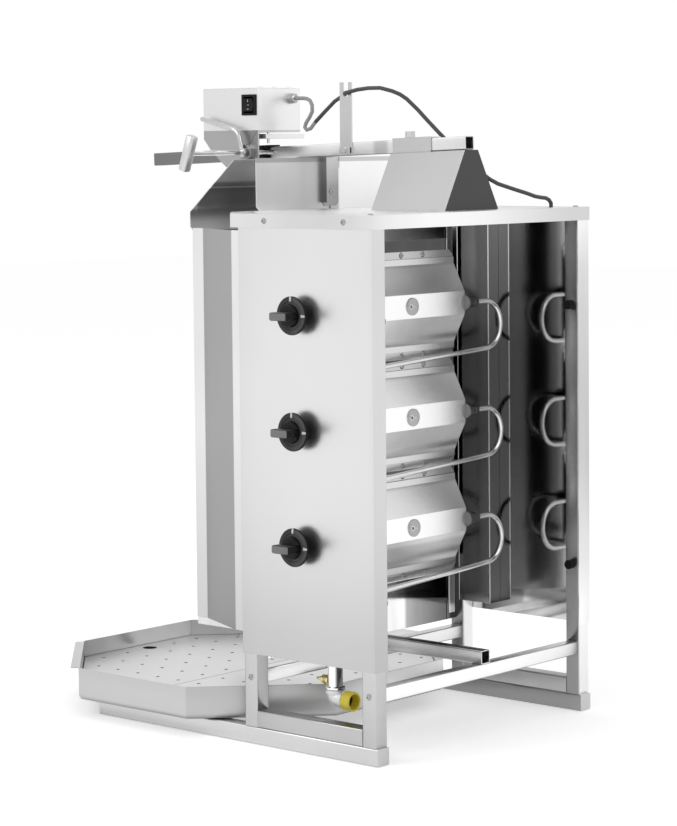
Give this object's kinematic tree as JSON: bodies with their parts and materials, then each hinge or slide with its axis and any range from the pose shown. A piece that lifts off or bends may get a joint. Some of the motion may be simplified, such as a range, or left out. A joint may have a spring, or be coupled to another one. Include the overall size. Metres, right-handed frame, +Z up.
{
  "type": "gas kebab grill",
  "caption": "Upright gas kebab grill with stacked infrared burners in a tube frame, polished reflector wings, a sliding motor head on a top beam and an octagonal drip tray.",
  "frame": {"origin": "on the floor, midway between the two base rails and midway along them", "axes": "+X to the right seen from the front (the side with the control panel), +Y to the open rear, -Y to the front where the tray slides out, +Z up"},
  "size_m": [0.5775, 0.7344, 0.958],
  "materials": {
    "steel": "brushed stainless steel",
    "pale_steel": "fine brushed stainless sheet, very light",
    "mirror_steel": "polished stainless sheet",
    "burner_steel": "satin stainless sheet",
    "bright_steel": "bright plated metal",
    "screw_steel": "plated cross-head screws",
    "black_plastic": "black moulded plastic with white marks",
    "brass": "machined brass",
    "yellow_plastic": "yellow plastic",
    "cable_rubber": "dark grey cable sheath",
    "rubber": "black rubber",
    "ceramic": "pale ceramic plaque with fine holes",
    "cast_metal": "dark machined metal",
    "nylon": "black nylon",
    "grey_plastic": "grey plastic gland"
  },
  "bodies": {
    "frame": {"base_rail_left": "steel", "base_rail_right": "steel", "front_post_left": "steel", "front_post_right": "steel", "rear_post_left": "steel", "rear_post_right": "steel", "side_rail_left": "steel", "side_rail_right": "steel", "front_cross_rail": "steel", "rear_cross_rail": "steel", "lower_beam": "steel", "top_cover": "pale_steel", "control_panel": "pale_steel", "side_panel_left": "pale_steel", "inner_wall_left": "mirror_steel", "inner_wall_right": "mirror_steel", "wing_left": "steel", "wing_right": "steel", "reflector_left": "mirror_steel", "reflector_right": "mirror_steel", "hood_front": "mirror_steel", "hood_back": "pale_steel", "hood_strap": "steel", "beam_support": "steel", "beam_sleeve": "steel", "burner_1": "burner_steel", "burner_2": "burner_steel", "burner_3": "burner_steel", "burner_plaques": "ceramic", "injectors": "bright_steel", "gas_tubes": "bright_steel", "gas_valves": "brass", "manifold": "bright_steel", "inlet_elbow": "bright_steel", "inlet_cap": "yellow_plastic", "power_cable": "cable_rubber", "bumpers": "rubber", "fasteners": "screw_steel"},
    "knob_1": {"knob_1": "black_plastic"},
    "knob_2": {"knob_2": "black_plastic"},
    "knob_3": {"knob_3": "black_plastic"},
    "tray": {"tray": "steel"},
    "drain_front": {"drain_plate_front": "steel"},
    "drain_rear": {"drain_plate_rear": "steel"},
    "spit_bearing": {"spit_bearing": "cast_metal"},
    "sleeve_bolt": {"sleeve_bolt": "steel"},
    "upper_beam": {"upper_beam": "steel", "cable_fork": "steel"},
    "carriage": {"carriage": "steel", "beam_bush": "nylon", "motor_case": "pale_steel", "motor_lid": "pale_steel", "gear_motor": "cast_metal", "switch_bezel": "black_plastic", "cable_gland": "grey_plastic", "heat_shield": "steel"},
    "drive_shaft": {"drive_shaft": "steel"},
    "rocker": {"rocker_switch": "black_plastic"},
    "clamp_screw": {"clamp_screw": "steel"},
    "clamp_lever": {"clamp_lever": "bright_steel"}
  },
  "joints": [
    {"name": "knob_1_turn", "type": "hinge", "parent": "frame", "child": "knob_1", "pos_m": [0.25, 0.1425, 0.625], "axis": [1, 0, 0], "range_deg": [0, 180]},
    {"name": "knob_2_turn", "type": "hinge", "parent": "frame", "child": "knob_2", "pos_m": [0.25, 0.1425, 0.461], "axis": [1, 0, 0], "range_deg": [0, 180]},
    {"name": "knob_3_turn", "type": "hinge", "parent": "frame", "child": "knob_3", "pos_m": [0.25, 0.1425, 0.297], "axis": [1, 0, 0], "range_deg": [0, 180]},
    {"name": "tray_slide", "type": "slide", "parent": "frame", "child": "tray", "axis": [0, -1, 0], "range_m": [0, 0.25]},
    {"name": "drain_front_lift", "type": "slide", "parent": "tray", "child": "drain_front", "axis": [0, 0, 1], "range_m": [0, 0.03]},
    {"name": "drain_rear_lift", "type": "slide", "parent": "tray", "child": "drain_rear", "axis": [0, 0, 1], "range_m": [0, 0.03]},
    {"name": "spit_bearing_slide", "type": "slide", "parent": "frame", "child": "spit_bearing", "axis": [0, -1, 0], "range_m": [-0.04, 0.04]},
    {"name": "sleeve_bolt_turn", "type": "hinge", "parent": "frame", "child": "sleeve_bolt", "pos_m": [-0.03, 0.11469, 0.87136], "axis": [0, -0.0349, 0.9994], "range_deg": [-180, 180]},
    {"name": "beam_slide", "type": "slide", "parent": "frame", "child": "upper_beam", "axis": [0, -0.9994, -0.0349], "range_m": [-0.01, 0.08], "deforming": ["power_cable"]},
    {"name": "carriage_slide", "type": "slide", "parent": "upper_beam", "child": "carriage", "axis": [0, -0.9994, -0.0349], "range_m": [-0.012, 0.12], "deforming": ["power_cable"]},
    {"name": "drive_shaft_spin", "type": "hinge", "parent": "carriage", "child": "drive_shaft", "pos_m": [0, -0.1765, 0.86], "axis": [0, 0, 1], "continuous": true},
    {"name": "rocker_tilt", "type": "hinge", "parent": "carriage", "child": "rocker", "pos_m": [0.031, -0.153, 0.926], "axis": [0, 1, 0], "range_deg": [-10, 10]},
    {"name": "clamp_screw_turn", "type": "hinge", "parent": "carriage", "child": "clamp_screw", "pos_m": [0.1, -0.156, 0.853], "axis": [1, 0, 0], "range_deg": [-180, 180]},
    {"name": "clamp_lever_swing", "type": "hinge", "parent": "carriage", "child": "clamp_lever", "pos_m": [0.046, -0.156, 0.853], "axis": [1, 0, 0], "range_deg": [-60, 25]}
  ]
}
